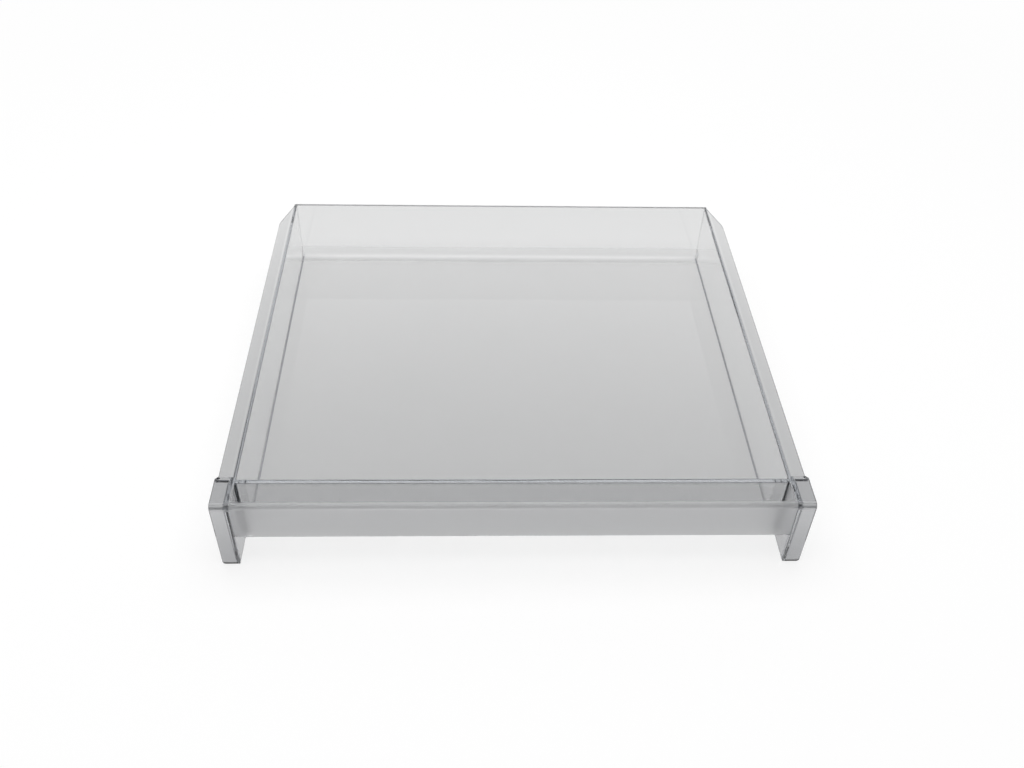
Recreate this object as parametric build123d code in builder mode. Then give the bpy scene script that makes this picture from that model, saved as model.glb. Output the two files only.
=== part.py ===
"""Freezer drawer: a shallow clear tray moulded in one piece.

The tray has drafted walls and a flat floor that bends up into the back wall. Two side flanges at
rim level run on ledges in the cabinet. At the front the rim carries a hood: a level ledge, an apron
that hangs in front of the tray as a finger grip, and a cheek at each end that reaches down to the
level of the floor. A cheek is a channel of thin plates, open to the outside, the back and the foot,
with a low stop rib across its back.

Millimetres, +X to the right, +Y to the back, +Z up. The origin is under the middle of the drawer,
at the level that the floor and the cheeks stand on.
"""
import os
from math import hypot

from build123d import *

# Tray
TRAY_WIDTH = 430.0
TRAY_DEPTH = 412.0
HEIGHT = 62.0
WALL = 2.5
FLOOR = 2.5
DRAFT_ANGLE = 1.9
BACK_BEND_RADIUS = 8.0
INNER_CREASE_RADIUS = 0.8
OUTER_CREASE_RADIUS = 1.0

# Side flanges
FLANGE_WIDTH = 11.0
FLANGE_THICKNESS = 2.5
FLANGE_TAPER_LENGTH = 38.0
FLANGE_TAPER_RADIUS = 30.0
FLANGE_TIP_LAP = 0.8

# Hood over the front
HOOD_OVERHANG = 13.5
LEDGE_DEPTH = 26.5
LEDGE_THICKNESS = 2.5
APRON_DROP = 32.0
APRON_THICKNESS = 2.5
FRONT_EDGE_RADIUS = 4.0
GRIP_RADIUS = 1.5

# Cheeks at the ends of the hood
CHEEK_LAP = 0.3
CHEEK_DEPTH = 33.0
CHEEK_LEAN = 3.0
CHEEK_WALL = 3.0
CHEEK_FOOT_RADIUS = 2.5
CHEEK_HEEL_RADIUS = 1.2
CHEEK_CHAMFER = 3.0
CHEEK_CREASE_RADIUS = 0.8
STOP_RIB_DROP = 5.0

# Places worked out from the sizes
FRONT_Y = -(TRAY_DEPTH + LEDGE_DEPTH) / 2
BACK_Y = FRONT_Y + LEDGE_DEPTH + TRAY_DEPTH
TRAY_FRONT_Y = FRONT_Y + LEDGE_DEPTH
CHEEK_BACK_Y = FRONT_Y + CHEEK_DEPTH
TRAY_HALF = TRAY_WIDTH / 2
HOOD_HALF = TRAY_HALF + HOOD_OVERHANG
CHEEK_INNER = TRAY_HALF - CHEEK_LAP
FLANGE_EDGE = TRAY_HALF + FLANGE_WIDTH

# Sketch planes: the hood is drawn from the front, the tray from the rim downwards
FRONT_PLANE = Plane.XZ.offset(-FRONT_Y)
RIM_PLANE = Plane(origin=(0, (TRAY_FRONT_Y + BACK_Y) / 2, HEIGHT), x_dir=(1, 0, 0), z_dir=(0, 0, -1))


def channel_outline(bottom, top):
    """Corners of the right cheek's channel in the front view, leaning inwards towards the floor."""
    lean_bottom = CHEEK_LEAN * (HEIGHT - bottom) / HEIGHT
    lean_top = CHEEK_LEAN * (HEIGHT - top) / HEIGHT
    return [
        (CHEEK_INNER + CHEEK_WALL - lean_bottom, bottom),
        (HOOD_HALF + CHEEK_WALL, bottom),
        (HOOD_HALF + CHEEK_WALL, top),
        (CHEEK_INNER + CHEEK_WALL - lean_top, top),
    ]


def plate_creases(body):
    """Edges where the plates around a channel meet, on its inner, front and upper sides."""
    inner_face = body.faces().filter_by(lambda face: abs(face.normal_at().Z) < 0.2).sort_by(Axis.X)[0]
    creases = inner_face.edges().filter_by(lambda edge: edge.center().Z > 0)
    creases = creases.filter_by(lambda edge: edge.center().Y < CHEEK_BACK_Y - CHEEK_WALL)
    front_crease = body.edges().filter_by(Axis.X).group_by(Axis.Y)[0].group_by(Axis.Z)[-1]
    return creases + front_crease


def grip_ends(body):
    """Edges where the cheeks' inner faces meet the apron and the ledge, behind the front."""
    ends = body.edges().filter_by(lambda edge: CHEEK_INNER - CHEEK_LEAN < abs(edge.center().X) < TRAY_HALF)
    ends = ends.filter_by(lambda edge: HEIGHT - APRON_DROP < edge.center().Z < HEIGHT - LEDGE_THICKNESS / 2)
    ends = ends.filter_by(lambda edge: FRONT_Y + APRON_THICKNESS / 2 < edge.center().Y < TRAY_FRONT_Y)
    return ends.filter_by(lambda edge: edge.length > APRON_THICKNESS)


def side_creases(body):
    """Edges of the two side faces and the front floor edge, without the rim."""
    sides = body.faces().sort_by(Axis.X)
    creases = sides[0].edges() + sides[-1].edges()
    creases = creases.filter_by(lambda edge: edge.center().Z < HEIGHT - WALL)
    front_crease = body.edges().filter_by(Axis.X).group_by(Axis.Z)[0].sort_by(Axis.Y)[0]
    return creases + [front_crease]


# Outside of the tray, drafted from the rim down, its back bent up from the floor
with BuildPart() as shell:
    with BuildSketch(RIM_PLANE):
        Rectangle(TRAY_WIDTH, TRAY_DEPTH)
    extrude(amount=HEIGHT, taper=DRAFT_ANGLE)
    fillet(shell.edges().filter_by(Axis.X).group_by(Axis.Z)[0].sort_by(Axis.Y)[-1], BACK_BEND_RADIUS + WALL)
    fillet(side_creases(shell), OUTER_CREASE_RADIUS)

# Space inside the tray
with BuildPart() as basin:
    with BuildSketch(RIM_PLANE):
        Rectangle(TRAY_WIDTH - 2 * WALL, TRAY_DEPTH - 2 * WALL)
    extrude(amount=HEIGHT - FLOOR, taper=DRAFT_ANGLE)
    fillet(basin.edges().filter_by(Axis.X).group_by(Axis.Z)[0].sort_by(Axis.Y)[-1], BACK_BEND_RADIUS)
    fillet(side_creases(basin), INNER_CREASE_RADIUS)

# Space inside the cheeks' channels, over which the stop rib is left standing
with BuildPart() as channels:
    with BuildSketch(FRONT_PLANE.offset(-CHEEK_WALL)):
        with BuildLine():
            Polyline(*channel_outline(-CHEEK_WALL, HEIGHT - LEDGE_THICKNESS), close=True)
        make_face()
    extrude(amount=-CHEEK_DEPTH)
    with BuildSketch(Plane.XY.offset(HEIGHT - STOP_RIB_DROP)):
        with Locations((HOOD_HALF, CHEEK_BACK_Y)):
            Rectangle(2 * TRAY_HALF, 2 * CHEEK_WALL)
    extrude(amount=STOP_RIB_DROP, mode=Mode.SUBTRACT)
    fillet(plate_creases(channels), CHEEK_CREASE_RADIUS)
    mirror(about=Plane.YZ)

with BuildPart() as drawer:
    # Cheeks, as posts that lean inwards, with a chamfered back corner and a rounded foot
    with BuildSketch(Plane.XY.offset(HEIGHT)):
        with BuildLine():
            Polyline(
                (CHEEK_INNER, FRONT_Y),
                (HOOD_HALF, FRONT_Y),
                (HOOD_HALF, CHEEK_BACK_Y - CHEEK_CHAMFER),
                (HOOD_HALF - CHEEK_CHAMFER, CHEEK_BACK_Y),
                (CHEEK_INNER, CHEEK_BACK_Y),
                close=True,
            )
        make_face()
    extrude(amount=hypot(CHEEK_LEAN, HEIGHT), dir=(-CHEEK_LEAN, 0, -HEIGHT))
    foot_edges = drawer.edges().filter_by(Axis.Y).group_by(Axis.Z)[0].sort_by(Axis.X)
    fillet(foot_edges[-1], CHEEK_FOOT_RADIUS)
    fillet(foot_edges[0], CHEEK_HEEL_RADIUS)
    mirror(about=Plane.YZ)

    # Apron, hanging from the ledge between the cheeks
    with BuildSketch(FRONT_PLANE):
        with Locations((0, HEIGHT - APRON_DROP / 2)):
            Rectangle(2 * CHEEK_INNER, APRON_DROP)
    extrude(amount=-APRON_THICKNESS)

    # Ledge, from the front edge back into the tray's front wall
    with BuildSketch(Plane.XY.offset(HEIGHT - LEDGE_THICKNESS)):
        with Locations((0, FRONT_Y + (LEDGE_DEPTH + WALL) / 2)):
            Rectangle(2 * CHEEK_INNER, LEDGE_DEPTH + WALL)
    extrude(amount=LEDGE_THICKNESS)

    # Rounded front edge, and the hollow of the grip behind it
    fillet(drawer.edges().filter_by(Axis.X).group_by(Axis.Y)[0].group_by(Axis.Z)[-1], FRONT_EDGE_RADIUS)
    grip_place = (0, FRONT_Y + APRON_THICKNESS, HEIGHT - LEDGE_THICKNESS)
    grip_top = drawer.edges().filter_by(Axis.X).sort_by_distance(grip_place)[0]
    fillet(grip_ends(drawer) + [grip_top], GRIP_RADIUS)

    # Channels of the cheeks
    add(channels.part, mode=Mode.SUBTRACT)

    # Side flanges, tapered in plan towards the back corners of the rim
    with BuildSketch(Plane.XY.offset(HEIGHT - FLANGE_THICKNESS)):
        with BuildLine():
            Polyline(
                (TRAY_HALF - WALL, CHEEK_BACK_Y - CHEEK_WALL),
                (FLANGE_EDGE, CHEEK_BACK_Y - CHEEK_WALL),
                (FLANGE_EDGE, BACK_Y - FLANGE_TAPER_LENGTH),
                (TRAY_HALF - FLANGE_TIP_LAP, BACK_Y - OUTER_CREASE_RADIUS),
                (TRAY_HALF - WALL, BACK_Y - OUTER_CREASE_RADIUS),
                close=True,
            )
        runner = make_face()
        bend_place = (FLANGE_EDGE, BACK_Y - FLANGE_TAPER_LENGTH)
        fillet(runner.vertices().sort_by_distance(bend_place)[0], FLANGE_TAPER_RADIUS)
        mirror(about=Plane.YZ)
    extrude(amount=FLANGE_THICKNESS)

    # Tray
    add(shell.part)
    add(basin.part, mode=Mode.SUBTRACT)

drawer.part.label = "drawer"
os.makedirs("parts", exist_ok=True)
export_step(drawer.part, "parts/drawer.step")
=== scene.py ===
"""Dresses the clear freezer drawer and sets it on a pale studio floor, seen from the front and above."""

import logging
import math
from dataclasses import dataclass, field
from enum import Enum
from typing import Any, Sequence

import bpy
import numpy as np
from mathutils import Matrix, Vector


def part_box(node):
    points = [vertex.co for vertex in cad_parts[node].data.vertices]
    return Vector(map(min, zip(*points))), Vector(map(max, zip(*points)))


log = logging.getLogger("freezer_drawer")
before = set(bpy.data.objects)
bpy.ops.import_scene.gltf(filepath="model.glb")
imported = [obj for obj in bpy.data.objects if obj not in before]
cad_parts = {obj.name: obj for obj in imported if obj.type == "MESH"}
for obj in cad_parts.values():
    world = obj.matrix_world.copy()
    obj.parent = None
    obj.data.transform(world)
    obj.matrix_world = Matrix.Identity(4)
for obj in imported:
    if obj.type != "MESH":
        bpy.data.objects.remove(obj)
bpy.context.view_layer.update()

MM = 0.001
LIGHT_BOUNCES = 32  # light runs far along a clear plate before it leaves it
# Painted shade: dark lines are painted along the creases, the ribs and the rims' edges.
CREASE_SHADE_CORE = 0.7  # share of a crease's reach that is fully dark

# Half widths of the masks' edges
FINE = 0.1 * MM
SOFT = 0.3 * MM
WIDE = 0.5 * MM
BROAD = 1.0 * MM
GENTLE = 2.0 * MM

Run = tuple[float, float]  # where a mask is 0, and where it is 1
Colour = tuple[float, float, float]
WHITE: Colour = (1.0, 1.0, 1.0)


class Blend(Enum):
    """How a mask's edge falls off."""

    LINEAR = "LINEAR"
    SMOOTH = "SMOOTHSTEP"


class Value:
    """A shader socket that takes part in Python arithmetic: each operator adds one Math node."""

    def __init__(self, shader: "Shader", socket: bpy.types.NodeSocket) -> None:
        """Wrap one socket of a shader.

        Args:
            shader: The node tree that the socket belongs to.
            socket: The output socket to wrap.
        """
        self.shader = shader
        self.socket = socket

    def _math(self, operation: str, first: Any, second: Any) -> "Value":
        """Add one Math node.

        Args:
            operation: The Math node's operation.
            first: Its first value or link.
            second: Its second value or link.

        Returns:
            The node's result.
        """
        return self.shader.node("ShaderNodeMath", {"operation": operation}, {0: first, 1: second})

    def __add__(self, other: Any) -> "Value":
        """Sum."""
        return self._math("ADD", self, other)

    def __radd__(self, other: Any) -> "Value":
        """Sum, reflected."""
        return self._math("ADD", other, self)

    def __sub__(self, other: Any) -> "Value":
        """Difference."""
        return self._math("SUBTRACT", self, other)

    def __rsub__(self, other: Any) -> "Value":
        """Difference, reflected."""
        return self._math("SUBTRACT", other, self)

    def __mul__(self, other: Any) -> "Value":
        """Product."""
        return self._math("MULTIPLY", self, other)

    def __rmul__(self, other: Any) -> "Value":
        """Product, reflected."""
        return self._math("MULTIPLY", other, self)

    def larger(self, other: Any) -> "Value":
        """The larger of two values."""
        return self._math("MAXIMUM", self, other)

    def root(self) -> "Value":
        """Square root."""
        return self._math("POWER", self, 0.5)

    def ramp(self, low: float, high: float, blend: Blend = Blend.SMOOTH) -> "Value":
        """Map a range to 0..1, held at its ends.

        Args:
            low: The value that becomes 0.
            high: The value that becomes 1. It may be below low.
            blend: How the edge falls off.

        Returns:
            The mask.
        """
        return self.shader.node(
            "ShaderNodeMapRange",
            {"interpolation_type": blend.value, "clamp": True},
            {"Value": self, "From Min": low, "From Max": high, "To Min": 0.0, "To Max": 1.0},
        )

    def over(self, level: float, soft: float) -> "Value":
        """Mask what is over a level.

        Args:
            level: Where the mask is half way.
            soft: Half the width of its edge.

        Returns:
            1 over the level, 0 under it.
        """
        return self.ramp(level - soft, level + soft)

    def under(self, level: float, soft: float) -> "Value":
        """Mask what is under a level.

        Args:
            level: Where the mask is half way.
            soft: Half the width of its edge.

        Returns:
            1 under the level, 0 over it.
        """
        return self.ramp(level + soft, level - soft)


class Shader:
    """One material's node tree, with a single way to add a node."""

    def __init__(self, tree: bpy.types.NodeTree) -> None:
        """Start from an empty tree.

        Args:
            tree: The material's or world's node tree.
        """
        self.tree = tree
        tree.nodes.clear()

    def add(
        self, kind: str, settings: dict[str, Any] | None = None, sockets: dict[Any, Any] | None = None
    ) -> bpy.types.Node:
        """Add a node, set it up, then fill or link its inputs.

        Args:
            kind: The node's type name.
            settings: Attributes of the node, set first.
            sockets: Input index or name to a number, a colour, or a Value to link.

        Returns:
            The node.
        """
        node = self.tree.nodes.new(kind)
        for name, value in (settings or {}).items():
            setattr(node, name, value)
        for key, value in (sockets or {}).items():
            if isinstance(value, Value):
                self.tree.links.new(value.socket, node.inputs[key])
            elif isinstance(value, bpy.types.NodeSocket):
                self.tree.links.new(value, node.inputs[key])
            else:
                node.inputs[key].default_value = value
        return node

    def node(
        self,
        kind: str,
        settings: dict[str, Any] | None = None,
        sockets: dict[Any, Any] | None = None,
        out: Any = 0,
    ) -> Value:
        """Add a node and wrap one of its outputs.

        Args:
            kind: The node's type name.
            settings: Attributes of the node, set first.
            sockets: Input index or name to a number, a colour, or a Value to link.
            out: Index or name of the output that is wanted.

        Returns:
            The wrapped output.
        """
        return Value(self, self.add(kind, settings, sockets).outputs[out])

    def place(self) -> tuple[Value, Value, Value, Value]:
        """The point on the piece, as a vector and as its three coordinates in metres."""
        point = self.node("ShaderNodeTexCoord", out="Object")
        parts = self.add("ShaderNodeSeparateXYZ", sockets={0: point})
        x, y, z = (Value(self, part) for part in parts.outputs)
        return point, x, y, z

    def noise(self, point: Value, scale: float, detail: float = 2.0, roughness: float = 0.5) -> Value:
        """Smooth noise about 0.5.

        Args:
            point: Where it is read.
            scale: Features per metre.
            detail: Octaves.
            roughness: Weight of the finer octaves.

        Returns:
            The noise value.
        """
        return self.node(
            "ShaderNodeTexNoise",
            {"noise_dimensions": "3D"},
            {"Vector": point, "Scale": scale, "Detail": detail, "Roughness": roughness},
        )

    def mix(self, factor: Value, first: Colour | Value, second: Colour | Value) -> Value:
        """Blend two colours.

        Args:
            factor: 0 gives the first colour, 1 the second.
            first: A colour, or a Value to link.
            second: A colour, or a Value to link.

        Returns:
            The blended colour.
        """
        ends = [end if isinstance(end, Value) else (*end, 1.0) for end in (first, second)]
        return self.node(
            "ShaderNodeMix",
            {"data_type": "RGBA", "blend_type": "MIX"},
            {"Factor": factor, 6: ends[0], 7: ends[1]},
            out=2,
        )


def near(first: Value, second: Value, reach: float) -> Value:
    """A line's surroundings, from the distances to it along two axes: the mask for shade painted along a
    crease.

    Args:
        first: Distance along one axis.
        second: Distance along another.
        reach: How far the surroundings go.

    Returns:
        1 about the line, 0 beyond the reach.
    """
    return (first * first + second * second).root().ramp(reach, CREASE_SHADE_CORE * reach)


@dataclass(frozen=True)
class Layout:
    """Where the moulding's forms lie: out from the middle, in from the front face, and up from the foot."""

    rim_top: float = 62.0 * MM
    ledge_foot: float = 59.5 * MM
    rib_foot_run: Run = (57.05 * MM, 57.3 * MM)
    rim_top_run: Run = (61.4 * MM, 61.8 * MM)
    bend_top: float = 13.0 * MM

    front_radius: float = 4.0 * MM
    grip_run: Run = (2.4 * MM, 1.9 * MM)
    skin: float = 0.6 * MM

    apron_back: float = 2.5 * MM
    channel_front: float = 3.0 * MM
    tray_front: float = 26.5 * MM
    tray_front_inside: float = 29.0 * MM
    rib_front: float = 30.0 * MM
    rib_back: float = 33.0 * MM
    channel_end_run: Run = (31.0 * MM, 30.5 * MM)
    side_root_run: Run = (33.0 * MM, 33.5 * MM)
    hood_back: float = 32.0 * MM
    bend_run: Run = (421.0 * MM, 426.0 * MM)
    side_rim_back: float = 432.0 * MM
    back_rim_run: Run = (434.0 * MM, 435.5 * MM)

    floor_crease: tuple[float, float] = (210.1 * MM, 2.9 * MM)
    side_inside: float = 212.5 * MM
    side_outside: float = 215.0 * MM
    apron_end: float = 214.0 * MM
    cheek_start: float = 214.1 * MM
    cheek_inside: float = 214.7 * MM
    flange_start: float = 217.0 * MM
    rib_start: float = 217.5 * MM
    channel_inside: float = 217.7 * MM
    cheek_lean: float = 3.0 * MM

    def lean(self, z: Value) -> Value:
        """How far the cheeks lean inwards at a height."""
        return self.cheek_lean - z * (self.cheek_lean / self.rim_top)


@dataclass(frozen=True)
class ClearPlastic:
    """Clear moulded polystyrene, a little smoky, with painted shade in its tint: glossy all over, with a fine
    matte grain on the apron.
    """

    name: str = "clear_polystyrene"
    layout: Layout = field(default_factory=Layout)

    # Painted shade: the tint darkens from the back towards the front, where less light falls; its grey is
    # partly the plastic's own smoke and partly painted shade.
    back_tint: Colour = (0.79, 0.792, 0.792)
    front_shade_tint: Colour = (0.625, 0.627, 0.631)
    bay_tint: Colour = (0.90, 0.902, 0.905)
    # Painted shade: the grained apron and the rounded front edge are darkened, which tones down their
    # highlight.
    apron_shade_tint: Colour = (0.76, 0.762, 0.767)
    # Painted shade: the cheeks are darkened, and more so towards their feet.
    cheek_shade_tint: Colour = (0.48, 0.484, 0.493)
    foot_shade_tint: Colour = (0.40, 0.403, 0.413)
    # Painted shade: the dark grey of the lines painted in the creases, on the ribs and along the rims.
    painted_crease_shade: Colour = (0.24, 0.245, 0.27)
    # Painted shade: where the darkening towards the front starts and ends.
    front_shade_run: Run = (435.0 * MM, 20.0 * MM)
    # Painted shade: the heights over which the cheeks darken towards their feet.
    foot_shade_run: Run = (58.0 * MM, 8.0 * MM)
    # Painted shade: how far the flanges are darkened towards the cheeks' grey.
    flange_shade_share: float = 0.25
    # Strength of the painted shade along the rims' edges, against that in the creases.
    rim_shade_share: float = 0.6

    # How far the painted crease shade reaches from each line.
    crease_reach: float = 1.0 * MM
    channel_reach: float = 0.9 * MM
    rim_reach: float = 0.7 * MM

    ior: float = 1.59
    edge_tint: Colour = (0.64, 0.67, 0.71)
    edge_density: float = 14.0

    gloss: float = 0.02
    haze: float = 0.03
    haze_scale: float = 22.0
    haze_range: Run = (0.35, 0.75)
    bend_dull: float = 0.34
    rim_dull: float = 0.6
    matte: float = 0.34
    edge_matte: float = 0.44
    grain_scale: float = 1400.0
    grain_depth: float = 0.03 * MM
    ripple_scale: float = 9.0
    ripple_depth: float = 0.12 * MM

    def grain_mask(self, across: Value, deep: Value, above: Value) -> Value:
        """Where the grain is: the outer skin of the apron, and the rounded edge all along the front.

        Args:
            across: Distance from the middle, to either side.
            deep: Distance behind the front face.
            above: Height above the rounded edge's centre line.

        Returns:
            1 on the grained skin, 0 elsewhere.
        """
        at = self.layout
        forward = at.front_radius - deep
        ahead, up = forward.larger(0.0), above.larger(0.0)
        reach = (ahead * ahead + up * up).root()
        skin = reach.over(at.front_radius - at.skin, SOFT) * forward.over(-at.skin, BROAD)
        grip = reach.ramp(*at.grip_run) * forward.over(-SOFT, SOFT) * above.over(-SOFT, SOFT)
        apron = across.under(at.apron_end, WIDE).larger(above.over(-BROAD, WIDE))
        return skin.larger(grip) * apron

    def dullness(self, deep: Value, z: Value) -> Value:
        """How much duller the gloss is in the bend at the foot of the back wall, and on the back wall's rim.

        Args:
            deep: Distance behind the front face.
            z: The point's height.

        Returns:
            The roughness to add.
        """
        at = self.layout
        bend = deep.ramp(*at.bend_run) * z.under(at.bend_top, GENTLE)
        rim = deep.ramp(*at.back_rim_run) * z.ramp(*at.rim_top_run)
        return (self.bend_dull * bend).larger(self.rim_dull * rim)

    def crease_shade_mask(self, across: Value, deep: Value, z: Value) -> Value:
        """Painted shade: dark lines in the narrow inside corners, on the stop ribs and, less so, along the
        rims' edges.

        Args:
            across: Distance from the middle, to either side.
            deep: Distance behind the front face.
            z: The point's height.

        Returns:
            1 in a crease, 0 elsewhere.
        """
        at = self.layout
        plate = across - at.channel_inside + at.lean(z)
        cheek = across - at.cheek_inside + at.lean(z)
        top, ledge = z - at.rim_top, z - at.ledge_foot
        ahead = deep.ramp(*at.channel_end_run)

        floor = near(across - at.floor_crease[0], z - at.floor_crease[1], self.crease_reach)
        channel = near(plate, deep - at.channel_front, self.channel_reach)
        channel = channel.larger(near(plate, ledge, self.channel_reach) * ahead)
        grip = near(cheek, deep - at.apron_back, self.crease_reach)
        grip = grip.larger(near(cheek, ledge, self.crease_reach) * ahead)

        rib = z.ramp(*at.rib_foot_run) * z.under(at.ledge_foot - FINE, FINE)
        rib = rib * deep.over(at.rib_front - SOFT, FINE) * deep.under(at.rib_back + SOFT, FINE)
        rib = rib * across.over(at.rib_start, WIDE)

        side_rim = near(across - at.side_inside, top, self.rim_reach)
        rim = side_rim.larger(near(deep - at.tray_front_inside, top, self.rim_reach))
        rim = rim * across.under(at.side_inside + WIDE, 2 * FINE) * deep.over(at.tray_front - SOFT, 2 * FINE)
        rim = rim * deep.under(at.side_rim_back, GENTLE)
        front_root = near(deep - at.tray_front, ledge, self.crease_reach) * across.under(at.side_inside, WIDE)
        side_root = near(across - at.side_outside, ledge, self.channel_reach)
        side_root = side_root * deep.ramp(*at.side_root_run)
        edges = rim.larger(front_root).larger(side_root)
        return floor.larger(channel).larger(grip).larger(rib).larger(self.rim_shade_share * edges)

    def smoke_and_painted_shade(self, shader: Shader, across: Value, deep: Value, z: Value, grain: Value) -> Value:
        """The plastic's tint: a little of its own smoke, with painted shade that darkens it towards the
        front, on the flanges and the grained apron, most in the cheeks and towards their feet, and in dark
        lines along the creases. The bay under the hood keeps a lighter tint.

        Args:
            shader: The material's node tree.
            across: Distance from the middle, to either side.
            deep: Distance behind the front face.
            z: The point's height.
            grain: The apron's grained skin, which painted shade also darkens.

        Returns:
            The tint.
        """
        at = self.layout
        hood = deep.under(at.hood_back, GENTLE)
        outside = (across + at.lean(z)).over(at.cheek_start, SOFT)
        flange = across.over(at.flange_start, BROAD)
        # Painted shade: darker down the cheeks towards their feet.
        cheek = shader.mix(z.ramp(*self.foot_shade_run), self.cheek_shade_tint, self.foot_shade_tint)
        # Painted shade: darker from the back towards the front.
        tint = shader.mix(deep.ramp(*self.front_shade_run, Blend.LINEAR), self.back_tint, self.front_shade_tint)
        # Painted shade: the flanges are darkened.
        tint = shader.mix(self.flange_shade_share * flange, tint, self.cheek_shade_tint)
        tint = shader.mix(hood * (1.0 - outside), tint, self.bay_tint)
        # Painted shade: the grained apron and the front edge are darkened.
        tint = shader.mix(grain, tint, self.apron_shade_tint)
        # Painted shade: the cheeks take their darkened tint.
        tint = shader.mix(hood * outside, tint, cheek)
        # Painted shade: the creases, ribs and rims' edges are darkened towards a dark grey.
        return shader.mix(self.crease_shade_mask(across, deep, z), tint, self.painted_crease_shade)

    def make(self, front_y: float) -> bpy.types.Material:
        """Build the material.

        Args:
            front_y: Where the front face stands, in metres.

        Returns:
            The material.
        """
        material = bpy.data.materials.new(self.name)
        material.use_nodes = True
        shader = Shader(material.node_tree)
        point, x, y, z = shader.place()
        across, deep = (x * x).root(), y - front_y
        above = z - (self.layout.rim_top - self.layout.front_radius)
        grain = self.grain_mask(across, deep, above)
        haze = shader.noise(point, self.haze_scale, detail=3.0).ramp(*self.haze_range)
        gloss = self.gloss + self.haze * haze + self.dullness(deep, z)
        matte = self.matte + (self.edge_matte - self.matte) * above.over(WIDE, BROAD)
        roughness = gloss * (1.0 - grain) + grain * matte
        pits = self.grain_depth * shader.noise(point, self.grain_scale, detail=1.0) * grain
        ripple = self.ripple_depth * shader.noise(point, self.ripple_scale, detail=1.0)
        bump = shader.node("ShaderNodeBump", {}, {"Strength": 1.0, "Distance": 1.0, "Height": pits + ripple})
        surface = shader.add(
            "ShaderNodeBsdfPrincipled",
            sockets={
                "Base Color": self.smoke_and_painted_shade(shader, across, deep, z, grain),
                "IOR": self.ior,
                "Transmission Weight": 1.0,
                "Roughness": roughness,
                "Normal": bump,
            },
        )
        inside = shader.add(
            "ShaderNodeVolumeAbsorption",
            sockets={"Color": (*self.edge_tint, 1.0), "Density": self.edge_density},
        )
        shader.add(
            "ShaderNodeOutputMaterial",
            sockets={"Surface": surface.outputs[0], "Volume": inside.outputs[0]},
        )
        return material


@dataclass(frozen=True)
class PaleFloor:
    """Matte white paper, lifted to white for what looks at it, and fully so far out. It keeps the shadow."""

    name: str = "pale_floor"
    colour: Colour = (0.90, 0.90, 0.90)
    lift: float = 0.8
    near_radius: float = 0.45
    far_radius: float = 1.6

    def make(self) -> bpy.types.Material:
        """Build the material: matte paper, mixed with plain white for rays that look at it."""
        material = bpy.data.materials.new(self.name)
        material.use_nodes = True
        shader = Shader(material.node_tree)
        path = shader.add("ShaderNodeLightPath")
        seen = Value(shader, path.outputs["Is Camera Ray"])
        seen = seen.larger(Value(shader, path.outputs["Is Glossy Ray"]))
        seen = seen.larger(Value(shader, path.outputs["Is Transmission Ray"]))
        _, x, y, _ = shader.place()
        far = (x * x + y * y).root().ramp(self.near_radius, self.far_radius)
        paper = shader.add("ShaderNodeBsdfDiffuse", sockets={"Color": (*self.colour, 1.0)})
        white = shader.add("ShaderNodeEmission", sockets={"Color": (*WHITE, 1.0), "Strength": 1.0})
        lifted = seen * (self.lift + (1.0 - self.lift) * far)
        mixed = shader.add(
            "ShaderNodeMixShader",
            sockets={0: lifted, 1: paper.outputs[0], 2: white.outputs[0]},
        )
        shader.add("ShaderNodeOutputMaterial", sockets={"Surface": mixed.outputs[0]})
        return material


def ring_mesh(name: str, points: np.ndarray) -> bpy.types.Object:
    """Turn rings of points into a smooth mesh object, with the first ring filled in.

    Args:
        name: The object's name.
        points: Array of shape (rings, points of a ring, 3), in metres.

    Returns:
        The object, linked to the scene at the origin.
    """
    rings, count = points.shape[:2]
    index = np.arange(rings * count).reshape(rings, count)
    right = np.roll(index, -1, axis=1)
    faces = np.stack([index[:-1], index[1:], right[1:], right[:-1]], axis=-1).reshape(-1, 4).tolist()
    faces.append(index[0].tolist())
    mesh = bpy.data.meshes.new(name)
    mesh.from_pydata(points.reshape(-1, 3).tolist(), [], faces)
    mesh.polygons.foreach_set("use_smooth", np.ones(len(faces), dtype=bool))
    made = bpy.data.objects.new(name, mesh)
    bpy.context.scene.collection.objects.link(made)
    return made


@dataclass
class Drawer:
    """The moulded drawer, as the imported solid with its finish."""

    node: str = "drawer"
    finish: ClearPlastic = field(default_factory=ClearPlastic)

    def dress(self) -> bpy.types.Object:
        """Give the moulding its plastic."""
        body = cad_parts[self.node]
        low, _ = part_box(self.node)
        body.data.materials.clear()
        body.data.materials.append(self.finish.make(low[1]))
        log.info("%s: %d faces in %s", self.node, len(body.data.polygons), self.finish.name)
        return body


@dataclass
class Stage:
    """A round floor, level out to its rim."""

    drop: float = 0.4 * MM
    radii: Sequence[float] = (0.8, 2.0, 5.0, 12.0, 30.0)
    sides: int = 96
    finish: PaleFloor = field(default_factory=PaleFloor)

    def build(self) -> bpy.types.Object:
        """Lay the floor as rings about a middle disc.

        Returns:
            The floor.
        """
        radius = np.array(self.radii)
        turn = np.linspace(0.0, 2 * math.pi, self.sides, endpoint=False)
        x = radius[:, None] * np.cos(turn)[None, :]
        y = radius[:, None] * np.sin(turn)[None, :]
        floor = ring_mesh("studio_floor", np.stack([x, y, np.full_like(x, -self.drop)], axis=-1))
        floor.data.materials.append(self.finish.make())
        log.info("studio_floor: %d faces", len(floor.data.polygons))
        return floor


@dataclass
class Softbox:
    """One soft studio lamp."""

    name: str
    place: tuple[float, float, float]
    target: tuple[float, float, float]
    size: tuple[float, float]
    power: float

    def build(self) -> bpy.types.Object:
        """Hang the lamp at its place, turned to its target."""
        data = bpy.data.lights.new(self.name, "AREA")
        data.shape = "RECTANGLE"
        data.size, data.size_y = self.size
        data.energy = self.power
        lamp = bpy.data.objects.new(self.name, data)
        lamp.location = self.place
        lamp.rotation_euler = (Vector(self.target) - Vector(self.place)).to_track_quat("-Z", "Y").to_euler()
        lamp.visible_glossy = False
        bpy.context.scene.collection.objects.link(lamp)
        return lamp


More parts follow.
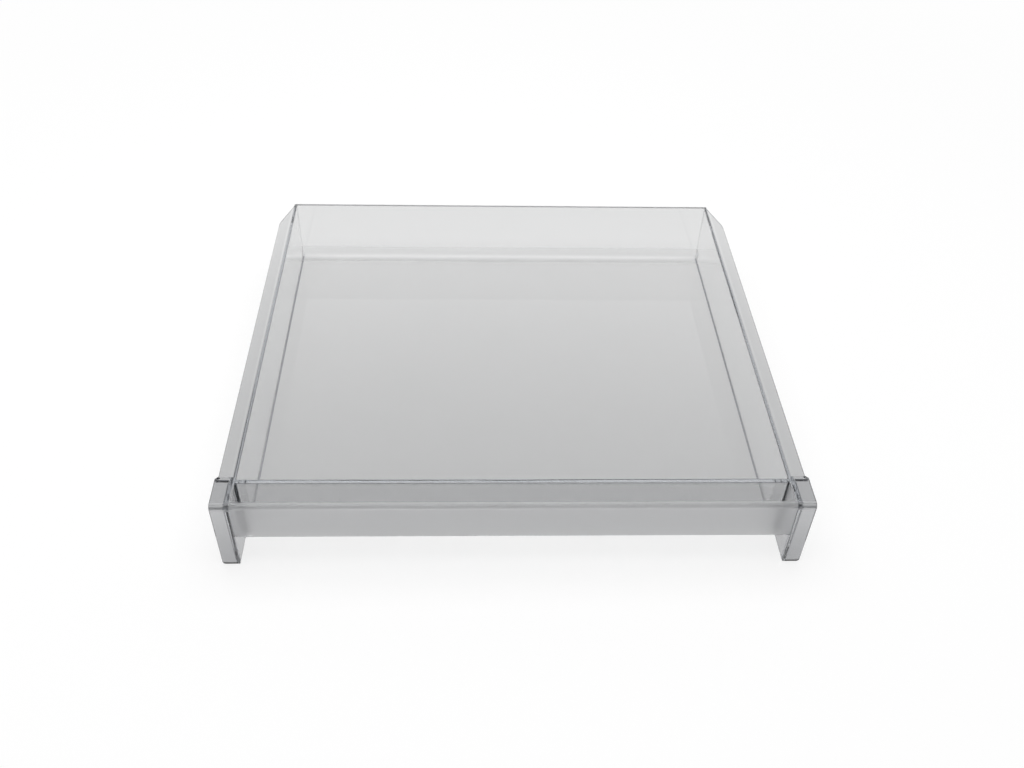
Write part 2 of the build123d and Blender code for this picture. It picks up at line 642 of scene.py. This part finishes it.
@dataclass
class Studio:
    """The lamps and the room's own light: a white skirting all round, a white back wall, and a dim rest."""

    dim_level: float = 0.06
    wall_level: float = 1.0
    skirting: Run = (0.34, 0.14)
    wall_side: Run = (0.05, 0.45)
    wall_height: Run = (0.74, 0.42)
    lamps: Sequence[Softbox] = (
        Softbox("top_softbox", (-0.1, 0.15, 1.9), (-0.1, 0.15, 0.0), (2.4, 2.1), 50.0),
    )

    def build(self) -> None:
        """Light the room by the way each direction looks, and hang the lamps."""
        world = bpy.data.worlds.new("room")
        world.use_nodes = True
        shader = Shader(world.node_tree)
        facing = shader.node("ShaderNodeTexCoord", out="Generated")
        parts = shader.add("ShaderNodeSeparateXYZ", sockets={0: facing})
        back, climb = Value(shader, parts.outputs[1]), Value(shader, parts.outputs[2])
        wall = back.ramp(*self.wall_side) * climb.ramp(*self.wall_height)
        level = (wall * self.wall_level).larger(climb.ramp(*self.skirting)).larger(self.dim_level)
        room = shader.add("ShaderNodeBackground", sockets={"Color": (*WHITE, 1.0), "Strength": level})
        shader.add("ShaderNodeOutputWorld", sockets={"Surface": room.outputs[0]})
        bpy.context.scene.world = world
        for lamp in self.lamps:
            lamp.build()


@dataclass
class Viewpoint:
    """The camera: where it stands, how it is turned, and its focal length in pixels of the frame's width."""

    place: tuple[float, float, float] = (-0.03819, -0.82014, 0.67303)
    pitch: float = 0.686
    yaw: float = 0.053
    roll: float = 0.035
    focal_px: float = 1140.0
    frame_px: int = 1024
    sensor: float = 36.0

    def build(self) -> bpy.types.Object:
        """Make the scene's camera.

        The view looks along (sin yaw cos pitch, cos yaw cos pitch, -sin pitch), and the frame is then
        rolled about that line.

        Returns:
            The camera.
        """
        ahead = np.array(
            [
                math.sin(self.yaw) * math.cos(self.pitch),
                math.cos(self.yaw) * math.cos(self.pitch),
                -math.sin(self.pitch),
            ]
        )
        level = np.array([math.cos(self.yaw), -math.sin(self.yaw), 0.0])
        above = np.cross(level, ahead)
        right = math.cos(self.roll) * level + math.sin(self.roll) * above
        up = -math.sin(self.roll) * level + math.cos(self.roll) * above
        turn = Matrix(np.stack([right, up, -ahead], axis=1).tolist())
        data = bpy.data.cameras.new("camera")
        data.sensor_width = self.sensor
        data.lens = self.focal_px / self.frame_px * self.sensor
        camera = bpy.data.objects.new("camera", data)
        camera.matrix_world = Matrix.Translation(self.place) @ turn.to_4x4()
        bpy.context.scene.collection.objects.link(camera)
        bpy.context.scene.camera = camera
        return camera


def main() -> None:
    """Dress the drawer, then set the floor, the light and the camera."""
    logging.basicConfig(level=logging.INFO, format="%(name)s %(message)s")
    scene = bpy.context.scene
    scene.view_settings.view_transform = "Standard"
    scene.cycles.max_bounces = LIGHT_BOUNCES
    scene.cycles.glossy_bounces = LIGHT_BOUNCES
    scene.cycles.transmission_bounces = LIGHT_BOUNCES
    Drawer().dress()
    Stage().build()
    Studio().build()
    Viewpoint().build()


if __name__ == "__main__":
    main()
